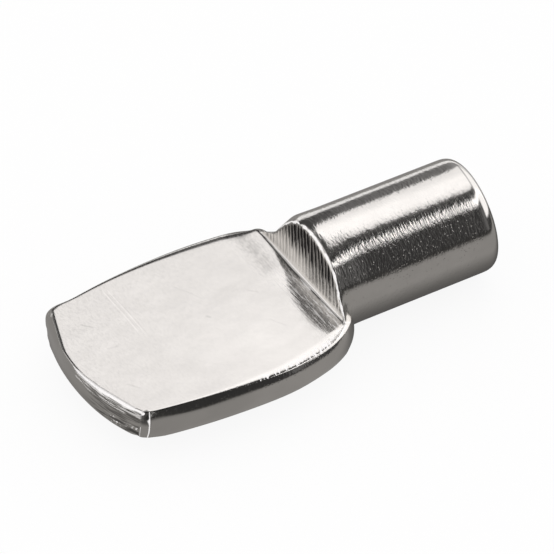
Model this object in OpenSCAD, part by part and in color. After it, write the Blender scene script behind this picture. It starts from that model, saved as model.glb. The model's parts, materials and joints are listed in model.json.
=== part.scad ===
// Shelf support pin, forged in one piece from round bar. The round pin goes into a hole in the side of
// a cabinet, and a shelf lies on the flat blade. The origin is on the pin's axis, in the plane where the
// shoulder stops against the cabinet. +X runs along the pin to its free end, and +Z is square to the
// blade's top face, which lies in the plane of the pin's axis.

/* [Pin] */
// Diameter of the pin
pin_d = 6.35; // [5:0.05:8]
// Length of the pin behind the shoulder, which goes into the cabinet
pin_l = 9.15; // [6:0.05:14]
// Radius of the rounded edge at the pin's free end
pin_edge_r = 0.4; // [0.1:0.05:0.8]

/* [Blade] */
// Length of the blade from the foot of the step to its tip
blade_l = 13.4; // [10:0.05:18]
// Width of the blade at its widest place, over the bulged sides
blade_w = 11.5; // [10:0.1:14]
// Thickness of the blade
blade_t = 1.9; // [1.4:0.05:2.6]
// Radius of the long sides in plan
side_r = 28.5; // [22:0.5:40]
// Distance from the foot of the step forward to the widest place
widest_at = 5.5; // [4:0.1:8]
// How far the pressed sides bulge out past the flat faces
bulge = 0.6; // [0.2:0.05:0.8]
// Roundness of that bulge: 2 is an ellipse, and less draws it out to a soft ridge
bulge_n = 1.4; // [1.2:0.1:2]
// Radius of the blunt front end in plan
tip_r = 10.8; // [9:0.1:20]
// Radius of the edge that the shear rolls over, between the front end and the bottom face
tip_roll_r = 0.4; // [0.1:0.05:0.8]
// Radius of the two long arcs that narrow the top edge of the front end, one towards each corner
flank_r = 60; // [30:5:120]
// Angle at which each of those arcs falls away from the centre line, in degrees
flank_lean = 15; // [8:1:22]
// How far ahead of the tip they would meet, if the front end were not blunt
flank_lead = 0.35; // [0.1:0.05:0.8]
// Lean from upright of the faces under those arcs, in degrees
flank_slope = 20; // [5:1:35]
// Radius of the rounding along those arcs
flank_edge_r = 0.15; // [0.05:0.05:0.3]
// Width of the small flat on each front corner
corner_flat = 0.5; // [0.2:0.05:1]

/* [Shoulder] */
// Distance from the foot of the step back to the plane where the shoulder stops
shoulder_l = 1.1; // [0.8:0.05:2]
// Radius of the blade's rear corners in plan
shoulder_r = 3.3; // [2.4:0.1:4]
// Lean of the step faces from upright, in degrees
step_draft = 4.5; // [1:0.5:10]
// Radius in the corner at the foot of each step
foot_r = 0.25; // [0.1:0.05:0.5]
// Half width of the step face at its foot
flare_w = 4.4; // [3.6:0.05:4.6]
// Height above the blade at which the upper step face starts to widen
flare_h = 1.15; // [0.6:0.05:2]
// Depth below the blade at which the lower step face starts to widen
flare_low_h = 0.45; // [0.2:0.05:0.7]
// Radius of the hollow between the pin's side and the widened foot
flare_r = 5; // [1.5:0.1:6]
// Thickness of the widened foot, along the pin
flare_t = 0.4; // [0.3:0.05:1]
// How much further back the lower step stands than the upper one
low_step_back = 0.6; // [0:0.1:0.8]
// How far the pressing swells the bar's radius ahead of the shoulder's plane
swell = 0.08; // [0.02:0.02:0.2]

/* [Hidden] */
$fn = 128;
bulge_steps = 12;                      // facets round a bulged side
fillet_steps = 6;                      // facets round the corner at a step's foot
overlap = 0.5;                         // how far shapes that fuse run into each other
reach = 3 * (blade_l + pin_l);         // longer than any cut needs
pin_r = pin_d / 2;
foot_x = -shoulder_l;                  // foot of the steps
tip_x = foot_x - blade_l;              // tip of the blade
bar_x = foot_x - 2 * foot_r;           // where the bar starts, ahead of the fillets at the steps' feet
tip_c = [tip_x + tip_r, 0];                           // centre of the front end's arc
// Centre of the long arc that narrows the top edge on the +Y side
flank_c = [tip_x - flank_lead, 0] + flank_r * [cos(flank_lean), -sin(flank_lean)];
side_c = [foot_x - widest_at, blade_w / 2 - side_r];  // centre of a side's arc
// Centre of a rear corner's arc, which touches the shoulder's plane and runs on smoothly from the side
corner_c = [-shoulder_r,
    side_c.y + sqrt((side_r - shoulder_r) ^ 2 - (shoulder_r + side_c.x) ^ 2)];
// Angles from a side's widest place back to where the rear corner takes over, and on past the tip
join_a = asin((corner_c.x - side_c.x) / (side_r - shoulder_r));
front_a = asin((side_c.x - tip_x + overlap) / -side_c.y);

// Where the side's arc and the front end's arc meet in plan
function front_corner() =
    let (d = norm(tip_c - side_c), u = (tip_c - side_c) / d,
         along = (d ^ 2 + side_r ^ 2 - tip_r ^ 2) / (2 * d), off = sqrt(side_r ^ 2 - along ^ 2))
    side_c + along * u + off * [-u.y, u.x];

// Half section of the blade: flat faces, and an edge that bulges out to the given radius
module blade_section(inner, outer) {
    polygon(concat(
        [[inner, -blade_t], [inner, 0]],
        [for (i = [0:bulge_steps]) let (a = 90 - 180 * i / bulge_steps)
            [outer - bulge * (1 - cos(a) ^ (2 / bulge_n)),
             blade_t / 2 * (sign(a) * abs(sin(a)) ^ (2 / bulge_n) - 1)]]));
}

// One side of the blade: the long arc, and the rear corner that carries it round into the bar
module blade_side() {
    translate(side_c)
        rotate_extrude(start = 90 - join_a, angle = join_a + front_a)
            blade_section(-side_c.y - overlap, side_r);
    translate(corner_c)
        rotate_extrude(start = -90, angle = 180 - join_a)
            blade_section(0, shoulder_r);
}

// A disc whose upright rim is the blunt front end, with the edge that the shear rolled over
module tip_disc() {
    translate([tip_c.x, tip_c.y, -blade_t])
        rotate_extrude() {
            square([tip_r - tip_roll_r, blade_t]);
            translate([0, tip_roll_r]) square([tip_r, blade_t - tip_roll_r]);
            translate([tip_r - tip_roll_r, tip_roll_r]) circle(tip_roll_r);
        }
}

// A disc whose rim narrows the top edge towards one corner, rounded there and leaning out below
module flank_disc() {
    slope_dir = [cos(flank_slope), sin(flank_slope)];
    edge_c = [flank_r + flank_edge_r * (slope_dir.y - 1) / slope_dir.x, blade_t - flank_edge_r];
    translate([flank_c.x, flank_c.y, -blade_t])
        rotate_extrude() {
            polygon([[0, 0], [flank_r + blade_t * tan(flank_slope), 0],
                edge_c + flank_edge_r * slope_dir, [edge_c.x, blade_t], [0, blade_t]]);
            translate(edge_c) circle(flank_edge_r);
        }
}

// Takes the sharp point off a front corner, leaving a narrow flat
module corner_cutter() {
    corner = front_corner();
    side_dir = (corner - side_c) / side_r;
    end_dir = (corner - tip_c) / tip_r;
    out = (side_dir + end_dir) / norm(side_dir + end_dir);
    turn = acos(side_dir * end_dir);
    depth = corner_flat / 2 * tan(turn / 2);
    translate(corner - depth * out) rotate(atan2(out.y, out.x))
        translate([0, -reach / 2, -reach / 2]) cube(reach);
}

// The pressed blade, with the end that was sheared off
module blade() {
    difference() {
        intersection() {
            union() {
                blade_side();
                mirror([0, 1, 0]) blade_side();
                translate([side_c.x, -corner_c.y, -blade_t]) cube([widest_at, 2 * corner_c.y, blade_t]);
            }
            tip_disc();
            flank_disc();
            mirror([0, 1, 0]) flank_disc();
        }
        corner_cutter();
        mirror([0, 1, 0]) corner_cutter();
    }
}

// The round bar: true to size behind the shoulder's plane, and a little swollen ahead of it
module bar() {
    rotate([0, 90, 0])
        rotate_extrude() {
            polygon([[0, bar_x], [pin_r + swell, bar_x], [pin_r, 0], [0, 0]]);
            square([pin_r - pin_edge_r, pin_l]);
            square([pin_r, pin_l - pin_edge_r]);
            translate([pin_r - pin_edge_r, pin_l - pin_edge_r]) circle(pin_edge_r);
        }
}

// Half of a step face where it widens towards the blade, hollowed between the two. The blade's face is
// off the pin's axis by the given distance, and the widening starts at the given height over it.
module flare_profile(off_axis, height) {
    on_pin = [sqrt(pin_r ^ 2 - (off_axis + height) ^ 2), height];
    on_blade = [flare_w, 0];
    chord = on_blade - on_pin;
    away = [-chord.y, chord.x] / norm(chord);
    hollow = (on_pin + on_blade) / 2 + away * sqrt(flare_r ^ 2 - (norm(chord) / 2) ^ 2);
    difference() {
        polygon([[0, -blade_t / 2], [0, height], on_pin, on_blade, [flare_w, -blade_t / 2]]);
        translate(hollow) circle(flare_r);
    }
}

// The metal behind a widened foot, kept within the rear corner's rounded edge. The foot may stand a
// set distance further back.
module flare(off_axis, height, back) {
    intersection() {
        translate([bar_x, 0, 0]) rotate([90, 0, 90])
            linear_extrude(foot_x + back + flare_t - bar_x) flare_profile(off_axis, height);
        translate([corner_c.x, corner_c.y, -blade_t])
            cylinder(r = shoulder_r - bulge / 2, h = reach);
    }
}

// Both widened feet on one side of the pin, over and under the blade
module flares() {
    flare(0, flare_h, 0);
    translate([0, 0, -blade_t]) mirror([0, 0, 1]) flare(blade_t, flare_low_h, low_step_back);
}

// The die that presses the top face flat and leaves the step, with a rounded corner at the step's foot
module die() {
    centre = [foot_x - foot_r * (1 - sin(step_draft)) / cos(step_draft), foot_r];
    rotate([90, 0, 0]) linear_extrude(reach, center = true)
        polygon(concat(
            [[-reach, reach], [-reach, 0]],
            [for (i = [0:fillet_steps]) let (a = -90 + (90 - step_draft) * i / fillet_steps)
                centre + foot_r * [cos(a), sin(a)]],
            [[foot_x + reach * tan(step_draft), reach]]));
}

module shelf_support_pin() {
    color("gainsboro")
        difference() {
            union() {
                blade();
                bar();
                flares();
                mirror([0, 1, 0]) flares();
            }
            die();
            translate([low_step_back, 0, -blade_t]) mirror([0, 0, 1]) die();
        }
}

shelf_support_pin();
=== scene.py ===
"""Looks of a pressed steel shelf support pin: its nickel-plated piece, the studio and the camera."""
import json
import math

import bmesh
import bpy
from bpy.props import FloatProperty, FloatVectorProperty, PointerProperty
from bpy.types import Operator, Panel, PropertyGroup
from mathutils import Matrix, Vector


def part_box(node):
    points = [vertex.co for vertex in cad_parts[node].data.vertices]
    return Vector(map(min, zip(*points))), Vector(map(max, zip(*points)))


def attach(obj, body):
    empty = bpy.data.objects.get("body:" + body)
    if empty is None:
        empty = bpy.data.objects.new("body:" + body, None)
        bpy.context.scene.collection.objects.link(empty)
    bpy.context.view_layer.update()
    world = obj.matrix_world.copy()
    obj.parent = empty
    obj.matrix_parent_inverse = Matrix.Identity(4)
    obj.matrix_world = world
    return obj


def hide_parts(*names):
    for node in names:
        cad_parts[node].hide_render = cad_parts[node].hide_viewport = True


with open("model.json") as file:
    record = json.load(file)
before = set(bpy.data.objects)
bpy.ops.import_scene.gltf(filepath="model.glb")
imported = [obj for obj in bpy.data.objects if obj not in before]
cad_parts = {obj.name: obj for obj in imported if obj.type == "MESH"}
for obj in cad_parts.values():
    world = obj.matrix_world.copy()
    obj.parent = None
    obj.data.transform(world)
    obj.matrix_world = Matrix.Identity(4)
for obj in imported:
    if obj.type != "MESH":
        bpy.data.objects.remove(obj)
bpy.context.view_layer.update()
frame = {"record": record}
NODE = "shelf_support_pin"
NODE_LOW, NODE_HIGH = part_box(NODE)
PLATING = next(m for m in frame["record"]["materials"] if m["slot"] == "nickel_plate")
PIN_MOUNT = next(m for m in frame["record"]["mounts"] if m["name"] == "pin")

bl_info = {
    "name": "Shelf support pin",
    "version": (1, 0, 0),
    "blender": (4, 5, 0),
    "location": "3D View > Sidebar > Support Pin",
    "description": "Models a nickel-plated shelf support pin and the studio it is shown in",
    "category": "Object",
}

MM = 0.001
TOP_EDGES = 52    # edges across the top of a ring, and as many across its underside
SIDE_EDGES = 16   # edges down each side of a ring
# A ring's columns run over the top from -Y to +Y, down the +Y side, back under and up the -Y side.
RING_EDGES = 2 * (TOP_EDGES + SIDE_EDGES)
UNDER_START = TOP_EDGES + SIDE_EDGES         # first column of the underside, on +Y
UNDER_MIDDLE = UNDER_START + TOP_EDGES // 2  # column in the middle of the underside
UNDER_END = UNDER_START + TOP_EDGES          # last column of the underside, on -Y


# ---------------------------------------------------------------- sizes and finishes

class SupportPinSizes(PropertyGroup):
    """Sizes of the support pin, measured in the frame's own axes."""
    pin_diameter: FloatProperty(
        name="Pin diameter", description="Across the round pin that goes into the panel",
        default=2 * PIN_MOUNT["dims"]["r_mm"] * MM, min=0.005, max=0.008,
        subtype="DISTANCE", unit="LENGTH")
    pin_length: FloatProperty(
        name="Pin length", description="From the shoulder's plane to the pin's free end",
        default=NODE_HIGH.x + 0.015 * MM, min=0.006, max=0.014,
        subtype="DISTANCE", unit="LENGTH")
    pin_edge: FloatProperty(
        name="Pin edge", description="Radius of the rounded edge at the pin's free end",
        default=0.38 * MM, min=0.0001, max=0.0008, subtype="DISTANCE", unit="LENGTH")
    blade_thickness: FloatProperty(
        name="Blade thickness", description="From the blade's flat top to its flat underside",
        default=1.9 * MM, min=0.0014, max=0.0026, subtype="DISTANCE", unit="LENGTH")
    step_draft: FloatProperty(
        name="Step draft", description="How far the step faces lean back from square",
        default=math.radians(4.5), min=0.01, max=0.18, subtype="ANGLE", unit="ROTATION")
    foot_fillet: FloatProperty(
        name="Foot fillet", description="Reach of the rounded corner at a step's foot",
        default=0.23 * MM, min=0.0001, max=0.0005, subtype="DISTANCE", unit="LENGTH")
    edge_swell: FloatProperty(
        name="Edge swell", description="How far the bar swells where the step's edge crosses it",
        default=0.11 * MM, min=0.0, max=0.0003, subtype="DISTANCE", unit="LENGTH")


class SupportPinFinish(PropertyGroup):
    """Finish of the plated steel."""
    plating_color: FloatVectorProperty(
        name="Plating color", description="Base color of the nickel plating",
        default=tuple(PLATING["base_color"][:3]), min=0.0, max=1.0, size=3, subtype="COLOR")
    polish: FloatProperty(
        name="Polish roughness", description="Roughness of the smoothest plated places",
        default=0.1, min=0.02, max=0.5, subtype="FACTOR")


# ---------------------------------------------------------------- form of the piece
# Lengths in this part are in millimetres, in the frame's axes: +X to the pin's free end, the
# pin's axis at y = z = 0, the blade's top at z = 0. "side" is -1 for -Y and +1 for +Y.

STEP_X = -1.1           # foot of the upper step
LOW_STEP_X = -0.5       # foot of the lower step
EDGE_X = -0.86          # where the upper step's edge crosses the bar
CORNER = (-3.3, 2.233)  # centre of a rear corner's outline, with its distance from the middle
CORNER_R = 3.3
SIDE_ARC = (-6.6, -22.75, 28.5)  # centre and radius of a side's long outline
ROUNDED_TO = -1.5       # where the rings reach all the way across the blade
RIM_WIDTH = 0.61        # from the flat's edge out to the widest outline, round a rear corner
BAR_X = 0.9             # ahead of here the bar swells, and rolls off to the step
PLAIN_X = BAR_X + 1.9   # where the pin's evenly spaced rings end
END_RING_R = 0.45       # radius of the innermost ring on the pin's free end
END_ROLL = 1.6          # how far the free end's edge falls back, in its own radii
END_GAP = 0.05          # from that edge to the first ring of the pin's plain side
CORNER_COLUMNS = 3      # columns over which the tip's edges run into its corners


def mix(a, b, t):
    """Point or number a share t of the way from a to b."""
    if isinstance(a, tuple):
        return tuple(p + (q - p) * t for p, q in zip(a, b))
    return a + (b - a) * t


def ease(t):
    """Smooth step from 0 to 1."""
    t = min(max(t, 0.0), 1.0)
    return t * t * (3 - 2 * t)


def smooth_max(a, b, width):
    """The larger of two numbers, rounded over where they meet."""
    return (a + b + math.sqrt((a - b) ** 2 + width ** 2)) / 2


def fillet(before, corner, after, reach, count):
    """Points on a rounded corner that starts and ends the given reach from it."""
    def towards(end):
        gap = math.dist(corner, end)
        return mix(corner, end, min(reach, 0.45 * gap) / max(gap, 1e-9))
    start, end = towards(before), towards(after)
    points = []
    for k in range(count):
        t = k / (count - 1)
        points.append(mix(mix(start, corner, t), mix(corner, end, t), t))
    return points


def side_levels(angles, radii):
    """Shares out and down at each level of the blade's rounded side, for a run of arcs."""
    out, down = [0.0], [0.0]
    for radius, a, b in zip(radii, angles, angles[1:]):
        out.append(out[-1] + radius * (math.cos(math.radians(b)) - math.cos(math.radians(a))))
        down.append(down[-1] + radius * (math.sin(math.radians(a)) - math.sin(math.radians(b))))
    outs = [o / out[-1] for o in out]
    downs = [d / down[-1] / 2 for d in down]
    return [*zip(outs, downs), *[(o, 1 - d) for o, d in zip(outs[-2::-1], downs[-2::-1])]]


SIDE_ANGLES = (90, 77, 64, 40, 31.5, 23, 15.3, 7.7, 0)
LEVELS = side_levels(SIDE_ANGLES, (1.1, 1.1, 0.1, 0.9, 0.9, 1.0, 1.0, 1.0))
MIDDLE_LEVELS = side_levels(SIDE_ANGLES, (0.5, 0.5, 0.1, 1.6, 1.5, 1.05, 1.05, 1.05))
FRONT_LEVELS = side_levels((90, 74, 58, 42, 39, 36, 12, 5, 0),
                           (0.12, 0.12, 0.12, 6.0, 6.0, 0.35, 1.6, 2.8))


def levels_at(x, k):
    """Shares out and down at level k: a soft upper rim at the back, a crisp one at the tip."""
    ahead = mix(FRONT_LEVELS[k], MIDDLE_LEVELS[k], ease((x + 12.5) / 4.0))
    return mix(ahead, LEVELS[k], ease((x + 9.5) / 5.0))


def flat_half_width(x):
    """Half the width of the blade's flat top at x."""
    u = x + 8.0
    return 5.225 - 0.01138 * u - 0.021985 * u ** 2 + 0.000197 * u ** 3 + 0.000094 * u ** 4


def outline_at_angle(a, further=0.0):
    """Point on the widest outline, at an angle round the rear corner from straight out."""
    r = CORNER_R + further
    return (CORNER[0] + r * math.sin(a), CORNER[1] + r * math.cos(a))


def outline_at_x(x):
    """Half the widest outline's width at x, along the side's long arc."""
    cx, cy, r = SIDE_ARC
    return cy + math.sqrt(r ** 2 - (x - cx) ** 2)


def fuller(sign, x):
    """How much wider than the plain outline the pressed blade came out at x, on one side."""
    # On -Y it is full behind the middle and slim beside the step, on +Y it narrows to the tip.
    if sign < 0:
        spread = 2.0 if x < -4.9 else 1.4
        return (0.12 * math.exp(-((x + 4.9) / spread) ** 2 / 2)
                - 0.155 * math.exp(-((x + 2.0) / 1.1) ** 2 / 2))
    return 0.03 * (max(x, -12.6) + 12.6) - 0.23


def tip_arc(y):
    """x of the full arc that the blade's end follows lower down, a little fuller on +Y."""
    r = 9.6 if y < 0 else 12.8
    return -14.6 + r - math.sqrt(r ** 2 - y ** 2)


def end_face(y, z):
    """x of the sheared end face at height z: the arc, cut back by a leaning flank on each side."""
    flank = mix(-14.9, -15.0, ease((y + 1.0) / 2.0)) + 0.328 * math.sqrt(y ** 2 + 0.01)
    arc = tip_arc(y)
    # On -Y the flank is a narrow band of even depth, on +Y an even lean.
    cut = max(flank - arc, 0.1 * ease((-y - 0.6) / 0.8))
    even_depth = arc + cut * (1 + z / 0.26)
    lean = mix(even_depth, flank + 0.5 * z, ease((y + 1.0) / 2.0))
    return smooth_max(lean, arc - mix(0.02, -0.015, ease((y - 3.0) / 1.5)) * z, 0.05)


class Form:
    """The support pin's rings, from the pin's free end to the blade's tip."""

    def __init__(self, sizes):
        self.r = sizes.pin_diameter / 2 / MM
        self.end_x = sizes.pin_length / MM
        self.edge = sizes.pin_edge / MM
        self.thick = sizes.blade_thickness / MM
        self.draft = math.tan(sizes.step_draft)
        self.foot = sizes.foot_fillet / MM
        self.swell = sizes.edge_swell / MM

    def step_x(self, foot_x, height):
        """x of a step's slightly hollow face at a height above its foot."""
        return foot_x + 1.9 * self.draft * height - 0.26 * self.draft * height ** 2

    def radius(self, x, above=0.0):
        """The bar's radius at x. It rolls off to the step on top and swells low on the sides."""
        roll = max(0.0, 1 - (x - EDGE_X) / 1.0) ** 2
        spread = max(0.0, 1 - (x - EDGE_X) / 1.8) ** 2
        high = ease((above - 38) / 30)
        return self.r + self.swell * (spread * (1 - high) - roll * high)

    def ring(self, top, side, under):
        """One ring's points, from four functions: over the top from -Y to +Y, and on round."""
        points = [top(i) for i in range(TOP_EDGES + 1)]
        points += [side(1, k) for k in range(1, SIDE_EDGES)]
        points += [under(i) for i in range(TOP_EDGES + 1)]
        points += [side(-1, k) for k in range(SIDE_EDGES - 1, 0, -1)]
        return points

    def round_ring(self, radius, x_at):
        """A ring on the round bar. Its side points keep the heights of the blade's side."""
        def place(y, z):
            return (x_at(y, z), y, z)

        if radius <= self.thick:  # inside the pin's end face, where the ring is spread evenly
            angles = [2 * math.pi * i / RING_EDGES for i in range(RING_EDGES)]
            return [place(-radius * math.cos(a), radius * math.sin(a)) for a in angles]
        low = math.asin(self.thick / radius)

        def top(i):
            a = math.pi * i / TOP_EDGES
            return place(-radius * math.cos(a), radius * math.sin(a))

        def side(sign, k):
            z = -self.thick * LEVELS[k][1]
            return place(sign * math.sqrt(radius ** 2 - z ** 2), z)

        def under(i):
            a = -low - (math.pi - 2 * low) * i / TOP_EDGES
            return place(radius * math.cos(a), radius * math.sin(a))

        return self.ring(top, side, under)

    # -- the pin

    def end_plane(self, y, z):
        """x of the pin's free end, which was cropped a little out of square."""
        return self.end_x + 0.045 * y - 0.073 * z

    def pin_rings(self):
        """Rings out over the pin's free end, round its edge and along the plain bar."""
        rings = []
        for radius in (END_RING_R, 1.1, 1.75, self.r - self.edge - 0.25):
            rings.append(self.round_ring(radius, self.end_plane))
        for k in range(6):
            a = math.pi / 2 * k / 5
            radius = self.r - self.edge * (1 - math.sin(a))
            drop = END_ROLL * self.edge * (1 - math.cos(a))
            rings.append(self.round_ring(radius, lambda y, z: self.end_plane(y, z) - drop))
        for k in range(1, 10):
            t = k / 9
            rings.append(self.round_ring(self.r, lambda y, z: mix(
                self.end_plane(y, z) - END_ROLL * self.edge - END_GAP, PLAIN_X, t)))
        for x in (1.9, 1.3, BAR_X):
            rings.append(self.round_ring(self.radius(x), lambda y, z: x))
        return rings

    # -- the shoulder

    def edge_rim(self, t, low):
        """The flat's edge beside the shoulder, from the bar (t = 0) to ROUNDED_TO (t = 1)."""
        if low:
            first, turn = (-0.35, 3.0), (-0.8, 3.85)
        else:
            first, turn = (-0.7, 3.45), (-1.12, 4.2)
        last = (ROUNDED_TO, flat_half_width(ROUNDED_TO))
        return mix(first, turn, t / 0.45) if t < 0.45 else mix(turn, last, (t - 0.45) / 0.55)

    def rim_point(self, side, k, t):
        """A point on the rounded side beside the shoulder."""
        out, down = LEVELS[k]
        base = self.edge_rim(t, down > 0.5)
        if 0.4 < down < 0.6:
            base = mix(self.edge_rim(t, False), self.edge_rim(t, True), (down - 0.4) / 0.2)
        further = 0.08 * ease(1.3 - 1.5 * t)
        if side > 0:  # a small point beside the upper groove
            point = math.exp(-((t - 0.8) / 0.28) ** 2)
            further = 0.22 * point
            base = mix(base, (base[0] + 0.12, base[1] + 0.2), point * (1 - down))
        widest = outline_at_angle(math.radians(mix(72.0, 42.0, t)), further)
        x, y = mix(base, widest, out)
        return (x, side * (y + t * fuller(side, ROUNDED_TO)), -self.thick * down)

    def side_junction(self, side, k):
        """Where the shoulder's rear meets the bar, which falls back towards the underside."""
        down = LEVELS[k][1]
        x = -0.5 + 0.6 * ease(down)
        z = -self.thick * down
        return (x, side * math.sqrt(self.radius(x) ** 2 - z ** 2), z)

    def side_path(self, side, k):
        """One line along the side, from the bar over its joint with the blade to ROUNDED_TO."""
        z = -self.thick * LEVELS[k][1]
        start = (BAR_X, side * math.sqrt(self.radius(BAR_X) ** 2 - z ** 2), z)
        joint = self.side_junction(side, k)
        after = self.rim_point(side, k, 0.15)
        path = [mix(start, joint, 0.5)] + fillet(start, joint, after, 0.22, 4)
        for t in (0.15, 0.36, 0.42, 0.48, 0.54, 0.6, 0.67, 0.74, 0.79, 0.84, 0.89, 0.94, 1.0):
            path.append(self.rim_point(side, k, t))
        return path

    def step_path(self, start, joint, crest, face, foot, last):
        """Points from the bar over a step's rounded crest, down its face and out onto the flat."""
        return [mix(start, joint, 0.5), *fillet(start, joint, crest, 0.16, 4),
                mix(joint, crest, 0.6), *fillet(joint, crest, face[0], 0.18, 4), *face,
                *fillet(face[1], foot, last, self.foot, 5), last]

    def upper_path(self, i):
        """One line over the bar, down the upper step's face and out onto the blade's top."""
        if i in (0, TOP_EDGES):
            return self.side_path(-1 if i == 0 else 1, 0)
        a = math.pi * i / TOP_EDGES
        side = -1 if a < math.pi / 2 else 1
        above = math.degrees(min(a, math.pi - a))

        def around(x, r):
            return (x, side * r * math.cos(math.radians(above)), r * math.sin(math.radians(above)))

        edge_r = self.radius(EDGE_X, above)
        if side < 0:
            reach = edge_r + 0.92 * max(0.0, 1 - above / 24) ** 2
            dip = 0.0
        else:
            dip = max(0.0, 1 - ((above - 38) / 30) ** 2) ** 1.5
            reach = edge_r + 1.1 * max(0.0, 1 - above / 14.5) ** 1.35 - 0.3 * dip
        _, y, z = around(0.0, reach)
        crest = (self.step_x(STEP_X, z), y, z)
        joint_x = crest[0] + mix(0.6, 0.36, ease(above / 30)) + 0.3 * dip
        joint = around(joint_x, self.radius(joint_x, above))
        start = around(BAR_X, self.radius(BAR_X))
        foot = (STEP_X, y, 0.0)
        end_y = mix(y, side * flat_half_width(ROUNDED_TO) * abs(y) / reach, 0.5)
        face = [(self.step_x(STEP_X, z * t), y, z * t) for t in (0.67, 0.36)]
        return self.step_path(start, joint, crest, face, foot, (ROUNDED_TO, end_y, 0.0))

    def lower_path(self, i):
        """The same line under the bar, from +Y to -Y."""
        if i in (0, TOP_EDGES):
            return self.side_path(1 if i == 0 else -1, SIDE_EDGES)
        edge_r = self.radius(LOW_STEP_X)
        low = math.asin(self.thick / edge_r)
        a = low + (math.pi - 2 * low) * i / TOP_EDGES
        side = 1 if a < math.pi / 2 else -1
        near = max(0.0, 1 - math.degrees(min(a, math.pi - a) - low) / 16) ** 2
        y = side * (edge_r * abs(math.cos(a)) + 1.2 * near)
        z = -edge_r * math.sin(a)
        foot_x = LOW_STEP_X - 0.28 * near
        height = -self.thick - z
        crest = (self.step_x(foot_x, height), y, z)
        joint_x = crest[0] + mix(0.36, 0.8, near)
        joint, start = ((x, side * self.radius(x) * abs(math.cos(a)), -self.radius(x) * math.sin(a))
                        for x in (joint_x, BAR_X))
        foot = (foot_x, y, -self.thick)
        last = (ROUNDED_TO, mix(y, side * flat_half_width(ROUNDED_TO) * abs(y) / 4.0, 0.5),
                -self.thick)
        face = [(self.step_x(foot_x, height * t), y, -self.thick - height * t)
                for t in (0.67, 0.36)]
        return self.step_path(start, joint, crest, face, foot, last)

    def shoulder_rings(self):
        """Rings across the shoulder, each through the same point of every line along it."""
        uppers = [self.upper_path(i) for i in range(TOP_EDGES + 1)]
        unders = [self.lower_path(i) for i in range(TOP_EDGES + 1)]
        sides = {(side, k): self.side_path(side, k)
                 for side in (-1, 1) for k in range(1, SIDE_EDGES)}
        return [self.ring(lambda i: uppers[i][row], lambda side, k: sides[side, k][row],
                          lambda i: unders[i][row]) for row in range(len(uppers[0]))]

    # -- the blade

    def blade_ring(self, flat_x, widest, out_left=1.0):
        """A ring across the blade. Towards the tip its middle runs ahead, as the end does."""
        spread = ease((ROUNDED_TO - flat_x) / 7.0)
        ahead = ease((-7.5 - flat_x) / 5.2)

        def half(sign):
            return flat_half_width(flat_x) + fuller(sign, flat_x)

        def flat(i, z):
            y = mix(self.starts[i], -1 + 2 * i / TOP_EDGES, spread)
            y *= half(y)
            edge = math.copysign(half(y), y)
            return (flat_x + ahead * (end_face(y, z) - end_face(edge, z)), y, z)

        def side(sign, k):
            out, down = levels_at(flat_x, k)
            share = out_left if sign < 0 else 1.0
            base = (flat_x, half(sign))
            wide_y = widest[1] + fuller(sign, flat_x)
            if sign > 0:  # the side bulges more towards the tip's corner on +Y
                wide_y += 0.3 * ease((-9.0 - flat_x) / 3.5)
            x, y = mix(base, (widest[0], wide_y), out * share)
            return (x, sign * y, -self.thick * down)

        return self.ring(lambda i: flat(i, 0.0), side,
                         lambda i: flat(TOP_EDGES - i, -self.thick))

    def blade_rings(self):
        """Rings round the blade's rear corners and along its sides towards the tip."""
        last = self.shoulder_rings()[-1]
        half = flat_half_width(ROUNDED_TO)
        self.starts = [last[i][1] / (half + fuller(last[i][1], ROUNDED_TO))
                       for i in range(TOP_EDGES + 1)]
        rings = []
        for a in (math.radians(angle) for angle in (36, 29, 22, 15, 8)):
            widest = outline_at_angle(a)
            rings.append(self.blade_ring(widest[0] - RIM_WIDTH * math.sin(a), widest))
        for k in range(10):
            x = mix(-3.7, -12.3, k / 9)
            fade = 1 - 0.2 * ease((-10.6 - x) / 2.0)
            rings.append(self.blade_ring(x, (x, outline_at_x(x)), fade))
        return rings

    # -- the blade's end

    def end_rings(self):
        """Rings round the blade's end corners and over the edges of its sheared face."""
        top_back = (0.7, 0.5, 0.32, 0.18, 0.07, 0.015, 0.0)
        top_down = (0.0, 0.0, 0.0, 0.0, 0.0, 0.015, 0.06)
        under_back = (0.35, 0.15, 0.0, 0.0, 0.0, 0.0, 0.0)
        # Each upright corner in plan: along the side, and across the corner onto the end face
        near_top = ((-12.72, 4.8), (-12.92, 4.757), (-12.99, 4.742), (-13.14, 4.71),
                    (-13.28, 4.68), (-13.335, 4.65), (-13.36, 4.57))
        near_low = ((-12.74, 4.68), (-12.97, 4.62), (-13.06, 4.59), (-13.22, 4.54),
                    (-13.38, 4.49), (-13.45, 4.44), (-13.49, 4.38))
        far = ((-12.8, 4.69), (-13.05, 4.68), (-13.25, 4.65), (-13.38, 4.61), (-13.45, 4.57),
               (-13.49, 4.53), (-13.52, 4.46))
        # How far each corner's side stands out between its edges, and the way it faces in plan
        near_bulge = (0.27, 0.25, 0.23, 0.17, 0.09, 0.03, 0.0)
        far_bulge = (0.6, 0.58, 0.53, 0.46, 0.37, 0.29, 0.0)
        turns = [math.radians(a) for a in (3, 8, 16, 26, 38, 55, 80)]
        last = len(turns) - 1
        rings = []
        for row in range(len(turns)):
            roll = math.pi / 2 * max(0, row - 1) / 5

            def run_in(x, i, first_corner, last_corner):
                """x, run into the nearer corner's own over a ring's outermost columns."""
                gap = min(i, TOP_EDGES - i)
                corner_x = (first_corner if 2 * i < TOP_EDGES else last_corner)[0]
                return mix(corner_x, x, ease(gap / CORNER_COLUMNS)) if gap < CORNER_COLUMNS else x

            def top(i):
                y = mix(-near_top[row][1], far[row][1], i / TOP_EDGES)
                z = -top_down[row]
                x = end_face(y, z) + top_back[row]
                return (run_in(x, i, near_top[row], far[row]), y, z)

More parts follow.
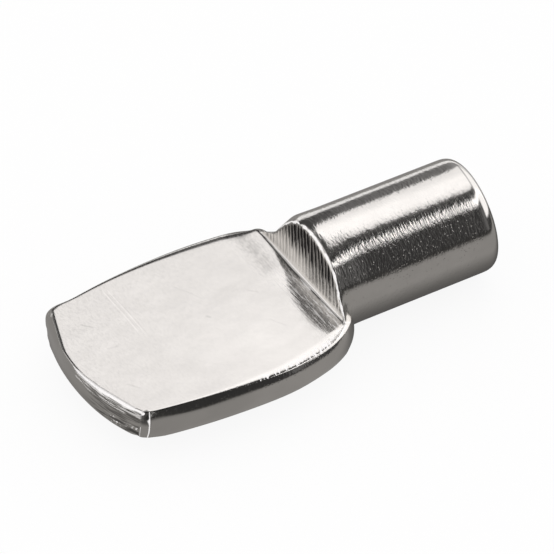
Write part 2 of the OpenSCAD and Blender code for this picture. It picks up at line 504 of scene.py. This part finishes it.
            def under(i):
                y = mix(far[row][1], -near_low[row][1], i / TOP_EDGES)
                size = mix(0.22, 0.4, ease(1 - abs(y) / 4.5))
                z = -self.thick + size * (1 - math.cos(roll))
                x = end_face(y, -self.thick + size) + size * (1 - math.sin(roll))
                return (run_in(x + under_back[row], i, far[row], near_low[row]), y, z)

            def side(sign, k):
                out, down = FRONT_LEVELS[k]
                if sign > 0 and down > 0.5:  # the corner on +Y stays full low down
                    out **= 0.3
                share = mix(down, k / SIDE_EDGES, ease(row / last))
                if sign < 0:
                    x, y = mix(near_top[row], near_low[row], share)
                    start, end, bulge = top(0), under(TOP_EDGES), near_bulge[row] * out
                else:
                    x, y = far[row]
                    start, end, bulge = top(TOP_EDGES), under(0), far_bulge[row] * out
                z = mix(start[2], end[2], share)
                x, y = x - math.sin(turns[row]) * bulge, y + math.cos(turns[row]) * bulge
                if row == last:
                    return (end_face(sign * y, z), sign * y, z)
                return (x, sign * y, z)

            rings.append(self.ring(top, side, under))
        return rings


# ---------------------------------------------------------------- modelling steps

def start_clean():
    """Object mode with nothing selected, as before each new piece."""
    if bpy.context.object and bpy.context.object.mode != "OBJECT":
        bpy.ops.object.mode_set(mode="OBJECT")
    bpy.ops.object.select_all(action="DESELECT")


# Attributes that say how much of each kind of mark a place has, and the last how much painted
# highlight its edges get
MARKS = ("drawn_marks", "step_marks", "end_marks", "edge_highlight")
EXTRUDED = -0.5 * MM   # how far a new ring is drawn out before it is laid in place
WELDED = 0.002 * MM    # points closer than this are merged


def rim_share(column):
    """1 on the upper rims of the blade's sides, fading out below them; 0 on the flats."""
    if TOP_EDGES < column < UNDER_START:
        level = column - TOP_EDGES
    elif column > UNDER_END:
        level = RING_EDGES - column
    else:
        return 0.0
    return ease(1 - (level - 4) / 3)


def lay_ring(obj, ring, marks):
    """Moves the selected ring onto its section, and notes how marked each place is and how much
    painted highlight it gets.
    """
    bm = bmesh.from_edit_mesh(obj.data)
    column = bm.verts.layers.int["column"]
    layers = {name: bm.verts.layers.float[name] for name in MARKS}
    for vert in bm.verts:
        if vert.select:
            place = vert[column]
            vert.co = Vector(ring[place]) * MM
            flat = place <= TOP_EDGES or abs(place - UNDER_MIDDLE) <= TOP_EDGES / 2
            for name, layer in layers.items():
                vert[layer] = marks.get(name, 0.0) * (flat or name != "step_marks")
            if "rim_marks" in marks:
                vert[layers["drawn_marks"]] = marks["rim_marks"] * rim_share(place)
                # a painted highlight along the upper rim on -Y
                if place > UNDER_END:
                    level = RING_EDGES - place
                    vert[layers["edge_highlight"]] = marks["rim_highlight"] * ease((4.0 - level) / 4.4)
            # a painted highlight along the step's crest
            if "crest" in marks and place < TOP_EDGES:  # fades out before the +Y end
                vert[layers["edge_highlight"]] = marks["crest"] * ease((50 - place) / 8)
            # a painted highlight on the edges of the tip's near corner
            if "corner_highlight" in marks and place > UNDER_END:
                vert[layers["edge_highlight"]] = marks["corner_highlight"]
    bmesh.update_edit_mesh(obj.data)


def model_pin(obj, form):
    """Extrudes the support pin ring by ring from the middle of the pin's free end."""
    pin, shoulder, blade, end = (form.pin_rings(), form.shoulder_rings(), form.blade_rings(),
                                 form.end_rings())
    bm = bmesh.from_edit_mesh(obj.data)
    column = bm.verts.layers.int.new("column")
    for name in MARKS:
        bm.verts.layers.float.new(name)
    centre = min(bm.verts, key=lambda v: Vector((0, v.co.y, v.co.z)).length)
    rim = sorted((v for v in bm.verts if v is not centre),
                 key=lambda v: math.atan2(v.co.z, -v.co.y) % (2 * math.pi))
    for k, vert in enumerate(rim):
        vert[column] = k
    centre.co = Vector((form.end_plane(0, 0), 0, 0)) * MM
    centre.select = False
    bm.select_flush_mode()
    for vert in rim:
        vert.select = True
    for edge in bm.edges:
        edge.select = centre not in edge.verts
    bmesh.update_edit_mesh(obj.data)
    lay_ring(obj, pin[0], {})
    rows = [(ring, {"drawn_marks": 1.0 if k > 8 else 0.0}) for k, ring in enumerate(pin[1:])]
    # How marked the shoulder's and the tip's rings are, and how much painted highlight their edges
    # get, by their number
    on_step = {9: 1.0, 10: 1.0, 11: 0.8, 12: 0.5, 13: 0.25}
    crest_highlight = {7: 0.85, 8: 0.55}
    rows += [(ring, {"drawn_marks": 1.0 if k < 6 else 0.0, "step_marks": on_step.get(k, 0.0),
                     "crest": crest_highlight.get(k, 0.0)}) for k, ring in enumerate(shoulder)]
    # the upper rims on -Y get a painted highlight, fading in behind and out towards the tip
    rows += [(ring, {"rim_marks": mix(0.9, 0.2, k / len(blade)),
                     "rim_highlight": 0.8 * ease((len(blade) - 3 - k) / 5) * ease((k + 1) / 4)})
             for k, ring in enumerate(blade)]
    highlit_corner = {2: 0.69, 5: 0.63}
    rows += [(ring, {"end_marks": 1.0 if k >= 6 else 0.0, "corner_highlight": highlit_corner.get(k, 0.0)})
             for k, ring in enumerate(end)]
    for ring, marks in rows:
        bpy.ops.mesh.extrude_edges_move(TRANSFORM_OT_translate={"value": (EXTRUDED, 0, 0)})
        lay_ring(obj, ring, marks)


def close_end(obj, form):
    """Bridges the end face from its top edge to its lower edge, and lays it on its surface."""
    bm = bmesh.from_edit_mesh(obj.data)
    column = bm.verts.layers.int["column"]
    before = {v.index for v in bm.verts}
    for edge in bm.edges:
        if edge.select:
            low, high = sorted(v[column] for v in edge.verts)
            flat = high <= TOP_EDGES or (UNDER_START <= low and high <= UNDER_END)
            edge.select = flat and high - low == 1
    bmesh.update_edit_mesh(obj.data)
    bpy.ops.mesh.bridge_edge_loops(type="PAIRS", number_cuts=SIDE_EDGES - 1,
                                   interpolation="LINEAR")
    bm = bmesh.from_edit_mesh(obj.data)
    layer, edge_light = bm.verts.layers.float["end_marks"], bm.verts.layers.float["edge_highlight"]
    for vert in bm.verts:
        if vert.index not in before:
            y, z = vert.co.y / MM, vert.co.z / MM
            vert.co.x = end_face(y, z) * MM
            vert[layer] = 1.0
    for vert in bm.verts:  # a painted highlight along the face's top edge, palest just below it, on -Y
        x, y, z = vert.co / MM
        if x < end_face(y, z) + 0.09 and z > -0.9:
            below = mix(0.52, 0.95, ease((z + 0.18) / 0.1)) * ease((z + 0.85) / 0.3)
            vert[edge_light] = (0.57 if z > -0.04 else below) * ease((1.1 - y) / 1.4)
    bmesh.update_edit_mesh(obj.data)


# ---------------------------------------------------------------- materials

class Nodes:
    """Short calls for adding and joining a material's or the world's nodes."""

    def __init__(self, tree):
        self.tree = tree
        tree.nodes.clear()

    def add(self, kind, **values):
        """A node, with settings by name and inputs by socket name or number in 'inputs'."""
        node = self.tree.nodes.new(kind)
        for key, value in values.pop("inputs", {}).items():
            socket = node.inputs[key]
            if isinstance(value, bpy.types.NodeSocket):
                self.tree.links.new(value, socket)
            else:
                socket.default_value = value
        for key, value in values.items():
            setattr(node, key, value)
        return node

    def math(self, operation, *values):
        """One math node's result."""
        node = self.add("ShaderNodeMath", operation=operation, inputs=dict(enumerate(values)))
        return node.outputs[0]

    def chain(self, operation, result, *values):
        """The first value combined with each of the others in turn."""
        for value in values:
            result = self.math(operation, result, value)
        return result

    def product(self, *values):
        return self.chain("MULTIPLY", *values)

    def total(self, *values):
        return self.chain("ADD", *values)

    def largest(self, *values):
        return self.chain("MAXIMUM", *values)

    def ramp(self, value, low, high, to_low=0.0, to_high=1.0):
        """Smoothly maps low..high to to_low..to_high."""
        node = self.add("ShaderNodeMapRange", interpolation_type="SMOOTHSTEP",
                        inputs={0: value, 1: low, 2: high, 3: to_low, 4: to_high})
        return node.outputs[0]

    def ramp_mm(self, value, low, high, to_low=0.0, to_high=1.0):
        """The same over a coordinate, with low and high in millimetres."""
        return self.ramp(value, low * MM, high * MM, to_low, to_high)


# Heights of the plated surface's marks
RISE = 0.09 * MM      # the blade's top, beside the step on +Y
TURNED = 0.0105 * MM  # marks round the bar and the rims
DRAGGED = 0.019 * MM  # lines up the step's face
SHEARED = 0.024 * MM  # lines along the sheared end
WAVY = 0.01 * MM      # the plate as a whole
HATCHED = 0.0065 * MM  # wear along the step's foot
PITTED = -0.0075 * MM

# Thin marks on the blade's top: two ends and a width in millimetres, and how much paler each is
SCRATCHES = (
    (-10.49, 4.7, -10.49, 0.4, 0.05, 0.09), (-10.41, 4.5, -10.41, 0.8, 0.06, -0.05),
    (-10.26, 4.7, -10.24, 0.4, 0.05, 0.09), (-10.18, 4.0, -10.16, 0.2, 0.05, -0.04),
    (-12.8, 2.8, -12.2, 2.14, 0.08, -0.12), (-12.55, 0.46, -11.85, 0.34, 0.1, -0.07),
    (-12.95, -2.3, -12.45, -3.15, 0.08, -0.07), (-7.3, 3.1, -6.3, 1.15, 0.06, -0.05),
    (-6.93, 0.1, -6.7, -0.2, 0.09, -0.1), (-4.3, -1.7, -3.7, -2.8, 0.06, -0.06),
    (-4.1, 0.75, -3.6, 0.2, 0.08, -0.06),
)


def nickel_plate(finish):
    """Bright nickel over a pressed and tumbled surface, with its marks, scratches and pits, and with
    painted highlights and shade.
    """
    mat = bpy.data.materials.new("nickel_plate")
    mat.use_nodes = True
    n = Nodes(mat.node_tree)
    place = n.add("ShaderNodeTexCoord").outputs["Object"]
    axes = n.add("ShaderNodeSeparateXYZ", inputs={0: place}).outputs
    product = n.product

    def noise(scale, detail=2.0):
        mapping = n.add("ShaderNodeMapping", inputs={"Vector": place, "Scale": scale})
        return n.add("ShaderNodeTexNoise", inputs={
            "Vector": mapping.outputs[0], "Scale": 1.0, "Detail": detail,
            "Roughness": 0.55}).outputs["Fac"]

    def along(axis, low, high, to_low=0.0, to_high=1.0):
        """A ramp along one axis, between two places in millimetres."""
        return n.ramp_mm(axes[axis], low, high, to_low, to_high)

    def marks(name):
        return n.add("ShaderNodeAttribute", attribute_name=name).outputs["Fac"]

    def scratch(x0, y0, x1, y1, width):
        """1 on a thin line over the flat top, between two points given in millimetres."""
        length = math.dist((x0, y0), (x1, y1))
        ux, uy = (x1 - x0) / length, (y1 - y0) / length
        dx = n.math("SUBTRACT", axes["X"], x0 * MM)
        dy = n.math("SUBTRACT", axes["Y"], y0 * MM)
        down = n.total(product(dx, ux), product(dy, uy))
        off = n.math("SUBTRACT", product(dx, uy), product(dy, ux))
        off = n.total(off, product(n.math("SUBTRACT", wander, 0.5), 0.12 * MM))
        line = n.ramp_mm(n.math("ABSOLUTE", off), 0.4 * width, width, 1.0, 0.0)
        ends = product(n.ramp_mm(down, 0.0, 0.15 * length),
                       n.ramp_mm(down, 0.8 * length, length, 1.0, 0.0))
        return product(line, ends)

    drawn, step, end, edge_light = (marks(name) for name in MARKS)
    turned = noise((9000, 3200, 3200), 2.5)       # turning marks round the bar, upright on rims
    upright = noise((1500, 7600, 480), 2.0)       # drag lines up the step's face
    lines = n.math("SUBTRACT", axes["Y"], product(axes["Z"], 0.22))
    lines = n.total(product(lines, 2 * math.pi / (0.33 * MM)), product(upright, 6.0))
    lines = n.math("SINE", lines)
    upright = n.total(product(upright, 0.7), product(n.total(lines, 1.0), 0.15))
    sheared = noise((800, 800, 10500), 2.0)       # drag lines along the sheared end
    soft = noise((420, 420, 420))                 # the slight waviness of pressed plate
    cloud = noise((500, 900, 700), 3.0)           # patchy polish
    wander = noise((800, 800, 800), 1.0)
    hatch = noise((9000, 900, 900), 2.0)          # wear along the step's foot
    near_end = along("Y", -0.5, -2.2)
    beside_step = product(along("X", -3.2, -1.5), along("X", -1.1, -1.25),
                          along("Y", 3.0, -1.0), along("Z", -0.12, -0.03))
    dots = n.add("ShaderNodeTexVoronoi", inputs={"Vector": place, "Scale": 6000.0,
                                                 "Randomness": 1.0}).outputs["Distance"]
    sparse = n.ramp(noise((2100, 2100, 2100)), 0.38, 0.54)
    pits = product(n.ramp(dots, 0.1, 0.28, 1.0, 0.0), sparse, along("Z", 2.5, 1.7, 0.15, 1.0))

    # The blade's top rises a hair towards the step on +Y
    rise = product(along("X", -3.2, -1.1), along("Y", -0.6, 1.6), along("Z", -0.1, -0.02),
                   along("X", -0.88, -1.08), RISE)
    height = n.total(product(n.math("SUBTRACT", turned, 0.5), drawn, TURNED), rise,
                     product(upright, step, DRAGGED),
                     product(sheared, end, n.total(0.15, near_end), SHEARED),
                     product(soft, WAVY),
                     product(hatch, beside_step, HATCHED),
                     product(pits, drawn, PITTED))
    bump = n.add("ShaderNodeBump", inputs={"Height": height, "Strength": 1.0, "Distance": 1.0})

    tint = n.ramp(cloud, 0.3, 0.7, 0.955, 1.02)
    # painted highlight: the blade's top paler towards the step on -Y
    tint = n.total(tint, product(along("X", -11, -5), along("Y", 1.5, -3), 0.1))
    for *places, paler in SCRATCHES:
        tint = n.total(tint, product(scratch(*places), paler))
    # the sheared end: darker drag lines on -Y, and painted shade darkening its lower part
    end_lines_and_shade = product(n.ramp(sheared, 0.42, 0.56, 0.6, 0.0), near_end)
    end_lines_and_shade = product(n.total(end_lines_and_shade, along("Z", -0.9, -1.9, 0.0, 0.25)), end)
    # painted shade on the upper part of the tip's near corner
    corner_shade = product(along("X", -12.98, -13.1), along("Y", -4.5, -4.62),
                          along("Z", -0.95, -0.6), 0.7)
    # the step's face: darker drag lines, and painted shade darkening it towards its top, less on +Y
    step_lines_and_shade = product(n.ramp(upright, 0.42, 0.6, 0.75, 0.0), step,
                        along("Z", 0.2, 1.6, 0.3, 1.0))
    step_lines_and_shade = n.total(step_lines_and_shade, product(step, along("Z", 0.6, 1.9, 0.0, 0.5)))
    step_lines_and_shade = product(step_lines_and_shade, along("Y", 2.7, 1.3, 0.3, 1.0))
    tint = n.math("SUBTRACT", tint, n.total(end_lines_and_shade, corner_shade, step_lines_and_shade))
    plated = n.add("ShaderNodeMix", data_type="RGBA", blend_type="MULTIPLY", inputs={
        0: 1.0, 6: (*finish.plating_color, 1.0), 7: tint})

    # Edges painted pale as highlights, and marks rubbed pale, which scatter light where the plating
    # mirrors it
    across = n.add("ShaderNodeMix", data_type="FLOAT", inputs={
        0: end, 2: noise((7500, 3000, 3000)), 3: sheared}).outputs[0]
    ragged = n.largest(product(end, 1.1), along("X", -12.7, -12.2, 0.0, 2.2))
    ragged_highlight = n.total(edge_light, product(n.math("SUBTRACT", across, 0.5), ragged,
                                   n.ramp(edge_light, 0.0, 0.15)))
    fainter = product(end, n.ramp(edge_light, 0.5, 0.8, 0.5, 0.0))
    wear_and_highlight = product(n.ramp(ragged_highlight, 0.5, 0.62), n.math("SUBTRACT", 1.0, fainter))
    torn = product(n.ramp(sheared, 0.52, 0.62), end, along("Y", -2.2, -3.0),
                   along("Z", -1.0, -1.3), n.ramp(dots, 0.42, 0.3))
    scuffed = product(n.ramp(hatch, 0.5, 0.62), beside_step, 0.6)
    wear_and_highlight = n.largest(wear_and_highlight, torn, scuffed)
    base = n.add("ShaderNodeMix", data_type="RGBA", inputs={
        0: wear_and_highlight, 6: plated.outputs[2], 7: (1.0, 0.99, 0.98, 1.0)})
    rough = n.ramp(turned, 0.35, 0.7, finish.polish, finish.polish + 0.06)
    shader = n.add("ShaderNodeBsdfPrincipled", inputs={
        "Base Color": base.outputs[2], "Metallic": n.math("SUBTRACT", 1.0, wear_and_highlight),
        "Roughness": rough, "Normal": bump.outputs[0]})
    n.add("ShaderNodeOutputMaterial", inputs={"Surface": shader.outputs[0]})
    return mat


def floor_white():
    """Plain pale floor: white behind the object, and still darker in its shadow."""
    mat = bpy.data.materials.new("pale_floor")
    mat.use_nodes = True
    n = Nodes(mat.node_tree)
    path = n.add("ShaderNodeLightPath")
    seen = n.largest(*(path.outputs[f"Is {kind} Ray"]
                       for kind in ("Camera", "Glossy", "Transmission")))
    plain = n.add("ShaderNodeBsdfDiffuse", inputs={"Color": (0.97, 0.97, 0.97, 1.0)})
    white = n.add("ShaderNodeEmission", inputs={"Color": (1, 1, 1, 1), "Strength": 1.0})
    both = n.add("ShaderNodeMixShader", inputs={
        0: n.product(seen, 0.9), 1: plain.outputs[0], 2: white.outputs[0]})
    n.add("ShaderNodeOutputMaterial", inputs={"Surface": both.outputs[0]})
    return mat


def mat_gray():
    """The gray mat under the object, which only its polished surfaces show."""
    mat = bpy.data.materials.new("gray_mat")
    mat.use_nodes = True
    n = Nodes(mat.node_tree)
    axes = n.add("ShaderNodeSeparateXYZ", inputs={
        0: n.add("ShaderNodeTexCoord").outputs["Object"]}).outputs
    # Painted shadow of the pin: darker close under the round pin. Darker also far out towards the
    # front
    under = n.product(n.ramp_mm(axes["Y"], -6.5, -1.8), n.ramp_mm(axes["Y"], 1.5, 4.5, 1.0, 0.0),
                      n.ramp_mm(axes["X"], -2, 1, 0.0, 0.64))
    ahead = n.product(n.math("MINIMUM", axes["X"], 0.0), 0.9)
    away = n.ramp_mm(n.total(axes["Y"], ahead), -44, -18, 0.13, 1.0)
    gray = n.add("ShaderNodeEmission", inputs={
        "Color": (0.27, 0.262, 0.255, 1),
        "Strength": n.product(n.math("SUBTRACT", 1.0, under), away)})
    n.add("ShaderNodeOutputMaterial", inputs={"Surface": gray.outputs[0]})
    return mat


def studio_world():
    """A dark studio with softboxes along the pin and to its sides, and a pale strip at the back."""
    world = bpy.data.worlds.new("studio")
    bpy.context.scene.world = world
    world.use_nodes = True
    n = Nodes(world.node_tree)
    way = n.add("ShaderNodeSeparateXYZ", inputs={
        0: n.add("ShaderNodeTexCoord").outputs["Generated"]}).outputs
    turn = n.math("ARCTAN2", way["Z"], way["Y"])     # angle about the pin's axis, 0 at the back

    def band(value, low, high, edge):
        """1 between low and high, with soft edges."""
        return n.product(n.ramp(value, low - edge, low + edge),
                         n.ramp(value, high - edge, high + edge, 1.0, 0.0))

    def band_deg(angle, low, high, edge):
        return band(angle, *(math.radians(limit) for limit in (low, high, edge)))

    def ramp_deg(angle, low, high, to_low, to_high):
        return n.ramp(angle, math.radians(low), math.radians(high), to_low, to_high)

    def ahead(low, high, to_low=0.0, to_high=1.0):
        """A ramp over how far a direction points along the pin, from -1 to 1."""
        return n.ramp(way["X"], low, high, to_low, to_high)

    # The long softboxes' edges run a little aslant, so that fine marks round the pin fray them.
    slant = n.total(turn, n.product(n.math("SUBTRACT", way["X"], 0.415), 1.5))
    early = n.product(n.largest(n.math("SUBTRACT", 0.34, way["X"]), 0.0), 3.5)
    back = n.product(band_deg(slant, 35.5, 99, 1.2), band(way["X"], 0.2, 0.6, 0.045),
                     ramp_deg(n.total(turn, early), 92, 97, 1.0, 0.0),
                     ramp_deg(turn, 46, 64, 1.07, 1.28), ramp_deg(turn, 78, 100, 1.0, 0.62),
                     ahead(0.35, 0.4, 1.03, 0.96))
    front = n.product(band_deg(slant, 116.5, 132, 1.2), ahead(0.392, 0.425, 0.0, 1.5))
    right = n.product(band_deg(turn, 12, 156, 4), ahead(0.6, 0.68, 0.0, 1.15))
    left = n.product(band_deg(turn, -8, 105, 4), ahead(-0.68, -0.45, 1.0, 0.06))
    low_left = n.product(band_deg(turn, 45.4, 58, 1), band(way["X"], -0.42, -0.1, 0.03), 0.68)
    strip = n.product(band_deg(turn, -8, 6, 0.8), ahead(0.0, 0.15))
    haze = n.product(band_deg(turn, 5, 37, 2), ahead(0.32, 0.5, 0.0, 0.3))
    # These three light the sides that the camera doesn't see
    rear = n.product(band_deg(turn, 100, 168, 4), ahead(-0.4, -0.12, 0.85, 0.0))
    fill = n.product(band_deg(turn, 25, 62, 4), band(way["X"], -0.45, -0.1, 0.03), 0.3)
    top = n.product(band_deg(turn, 58, 125, 5), ahead(0.07, -0.04, 0.0, 0.55))
    # The dark room itself, paler towards the pin's end and with faint glints low in front
    room = n.product(ahead(0.45, 0.7, 0.0, 0.267), ramp_deg(turn, 126, 142, 1.0, 0.05))
    glints = n.product(band(way["X"], 0.48, 0.6, 0.03), ramp_deg(turn, 126, 142, 0.0, 0.1))
    light = n.largest(n.total(n.largest(room, glints), 0.033), back, front, right, rear, left,
                      top, fill, haze, low_left, strip)
    path = n.add("ShaderNodeLightPath")
    plain = n.largest(path.outputs["Is Camera Ray"], path.outputs["Is Diffuse Ray"])
    strength = n.add("ShaderNodeMix", data_type="FLOAT", inputs={0: plain, 2: light, 3: 1.0})
    sky = n.add("ShaderNodeBackground", inputs={
        "Color": (1.0, 0.984, 0.989, 1.0), "Strength": strength.outputs[0]})
    n.add("ShaderNodeOutputWorld", inputs={"Surface": sky.outputs[0]})
    return world


# ---------------------------------------------------------------- operators

class OBJECT_OT_support_pin(Operator):
    """Model the nickel-plated support pin"""
    bl_idname = "object.support_pin"
    bl_label = "Support Pin"

    def execute(self, context):
        sizes, finish = context.scene.support_pin_sizes, context.scene.support_pin_finish
        form = Form(sizes)
        start_clean()
        bpy.ops.mesh.primitive_circle_add(
            vertices=RING_EDGES, radius=END_RING_R * MM, fill_type="TRIFAN",
            location=(sizes.pin_length, 0, 0), rotation=(0, math.pi / 2, 0))
        obj = context.object
        obj.name = obj.data.name = "plated_support_pin"
        bpy.ops.object.transform_apply(location=True, rotation=True, scale=True)
        bpy.ops.object.mode_set(mode="EDIT")
        bpy.ops.mesh.select_mode(type="VERT")
        bpy.ops.mesh.select_all(action="SELECT")
        model_pin(obj, form)
        close_end(obj, form)
        bpy.ops.mesh.select_all(action="SELECT")
        bpy.ops.mesh.remove_doubles(threshold=WELDED)
        bpy.ops.mesh.normals_make_consistent(inside=False)
        bpy.ops.object.mode_set(mode="OBJECT")
        smooth = obj.modifiers.new("Smooth form", "SUBSURF")
        smooth.levels = smooth.render_levels = 1
        bpy.ops.object.modifier_apply(modifier=smooth.name)
        bpy.ops.object.shade_smooth()
        if not obj.data.polygons:
            raise RuntimeError("the support pin has no faces")
        obj.data.materials.clear()
        obj.data.materials.append(nickel_plate(finish))
        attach(obj, "root")
        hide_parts(NODE)
        return {"FINISHED"}


EYE = Vector((-0.1027, -0.16644, 0.16936))
AIM = Vector((-0.00229, 0.00068, 0.00011))
SENSOR_MM = 36.0
LENS_MM = 324.9
FLOOR_GAP = 0.05 * MM   # from the object's lowest point down to the floor
MAT_LIFT = 0.02 * MM    # from the floor up to the mat


class SCENE_OT_support_pin_stage(Operator):
    """Set the pale floor, the studio light and the camera"""
    bl_idname = "scene.support_pin_stage"
    bl_label = "Stage"

    def execute(self, context):
        scene = context.scene
        floor_z = NODE_LOW.z - FLOOR_GAP
        start_clean()
        bpy.ops.mesh.primitive_plane_add(size=6.0, location=(0, 0, floor_z))
        floor = context.object
        floor.name = floor.data.name = "floor"
        bpy.ops.object.transform_apply(location=True, rotation=True, scale=True)
        floor.data.materials.append(floor_white())
        start_clean()
        bpy.ops.mesh.primitive_plane_add(size=1.0, location=(0.7, -1.4445, floor_z + MAT_LIFT))
        mat = context.object
        mat.name = mat.data.name = "gray_mat"
        bpy.ops.transform.resize(value=(1.466, 3.0, 1.0))
        bpy.ops.object.transform_apply(location=True, rotation=True, scale=True)
        mat.data.materials.append(mat_gray())
        mat.visible_camera = mat.visible_diffuse = mat.visible_shadow = False
        start_clean()
        studio_world()
        bpy.ops.object.camera_add(location=EYE)
        camera = context.object
        camera.name = camera.data.name = "camera"
        camera.rotation_euler = (AIM - EYE).to_track_quat("-Z", "Y").to_euler()
        camera.data.sensor_width = SENSOR_MM
        camera.data.lens = LENS_MM
        camera.data.clip_start = 0.01
        camera.data.clip_end = 20.0
        scene.camera = camera
        scene.view_settings.view_transform = "Standard"
        return {"FINISHED"}


class VIEW3D_PT_support_pin(Panel):
    """Sizes, finish and steps of the support pin"""
    bl_idname = "VIEW3D_PT_support_pin"
    bl_label = "Support Pin"
    bl_space_type = "VIEW_3D"
    bl_region_type = "UI"
    bl_category = "Support Pin"

    def draw(self, context):
        layout = self.layout
        for group in (context.scene.support_pin_sizes, context.scene.support_pin_finish):
            for name in type(group).__annotations__:
                layout.prop(group, name)
        layout.operator(OBJECT_OT_support_pin.bl_idname)
        layout.operator(SCENE_OT_support_pin_stage.bl_idname)


CLASSES = (SupportPinSizes, SupportPinFinish, OBJECT_OT_support_pin,
           SCENE_OT_support_pin_stage, VIEW3D_PT_support_pin)


def register():
    for cls in CLASSES:
        bpy.utils.register_class(cls)
    bpy.types.Scene.support_pin_sizes = PointerProperty(type=SupportPinSizes)
    bpy.types.Scene.support_pin_finish = PointerProperty(type=SupportPinFinish)


def unregister():
    del bpy.types.Scene.support_pin_finish
    del bpy.types.Scene.support_pin_sizes
    for cls in reversed(CLASSES):
        bpy.utils.unregister_class(cls)


def main():
    """Builds the piece and the stage."""
    register()
    bpy.ops.object.support_pin()
    bpy.ops.scene.support_pin_stage()
    bpy.context.view_layer.update()


if __name__ == "__main__":
    main()
